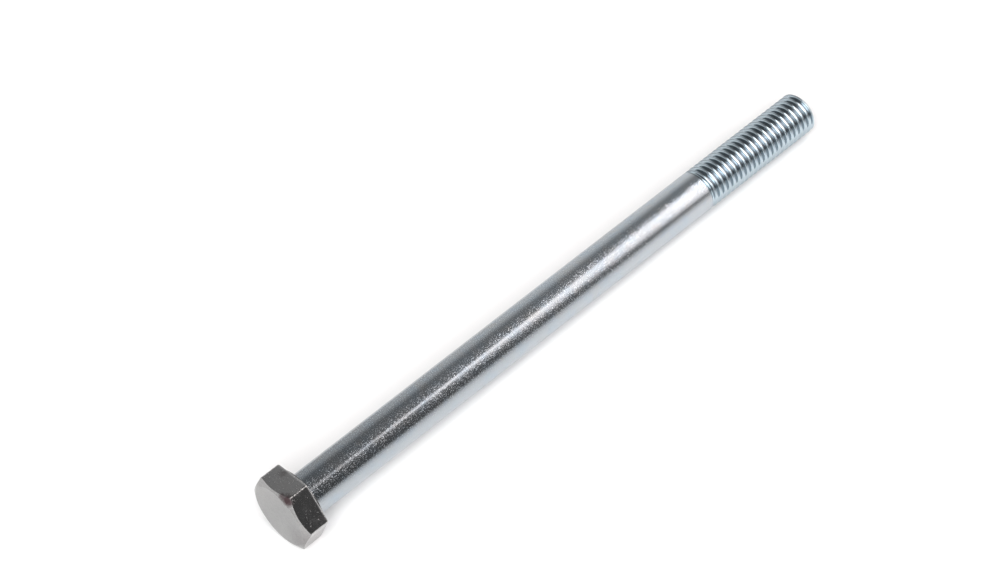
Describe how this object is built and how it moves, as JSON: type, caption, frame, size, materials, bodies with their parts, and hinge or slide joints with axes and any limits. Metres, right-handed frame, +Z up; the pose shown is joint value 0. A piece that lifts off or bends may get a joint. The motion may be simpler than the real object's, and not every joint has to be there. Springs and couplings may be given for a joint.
{
  "type": "hex bolt",
  "caption": "Long hex head bolt with a plain shank, a part thread and a chamfered tip, lying on its side; clamps joints with a nut.",
  "frame": {"origin": "on the surface the bolt lies on, under the middle of its bounding box", "axes": "+X along the bolt towards its tip, level with the surface (the axis itself dips by about one degree), +Z up"},
  "size_m": [0.1874, 0.0214, 0.0188],
  "materials": {
    "zinc_plated_steel": "bright zinc plating with a clear blue passivation"
  },
  "bodies": {
    "root": {"hex_bolt": "zinc_plated_steel"}
  },
  "joints": []
}
